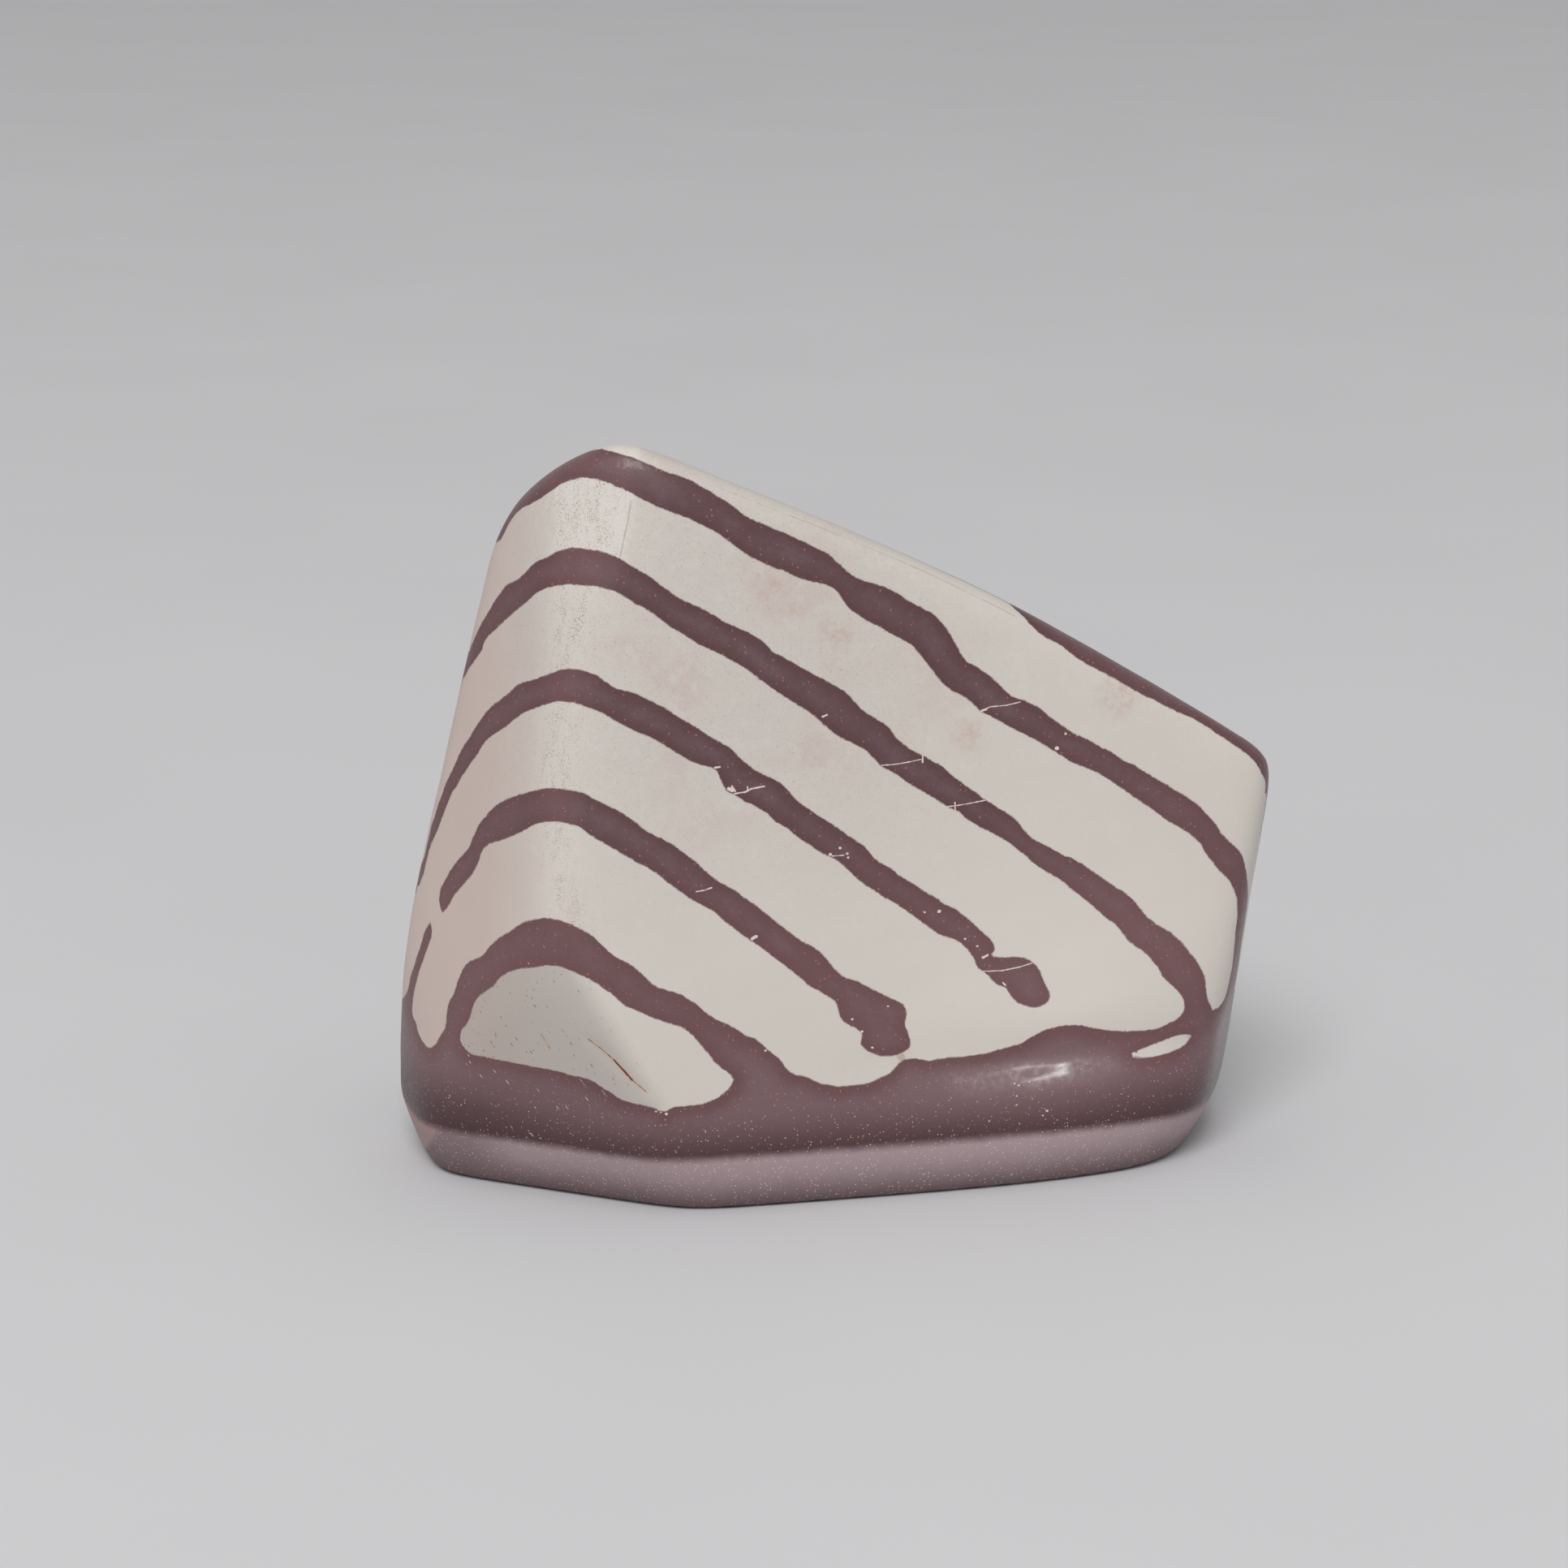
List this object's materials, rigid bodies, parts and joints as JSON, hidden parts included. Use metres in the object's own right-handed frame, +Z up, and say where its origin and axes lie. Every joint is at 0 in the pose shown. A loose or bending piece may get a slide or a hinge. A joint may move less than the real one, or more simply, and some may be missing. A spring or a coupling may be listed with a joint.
{
  "type": "zebra rock specimen",
  "caption": "Palm-sized block of cream zebra rock with dark brown bands, ground to a freeform with worn edges and a bevelled flat base that it stands on.",
  "frame": {"origin": "middle of the stone's box, at the height of the flat base that it stands on", "axes": "+Z up, +X along the stone's length towards its low end, -Y out of the broad front face"},
  "size_m": [0.0925, 0.0584, 0.0791],
  "materials": {
    "banded_stone": "satin polish, cream with dark purplish brown bands"
  },
  "bodies": {
    "root": {"zebra_rock": "banded_stone"}
  },
  "joints": []
}
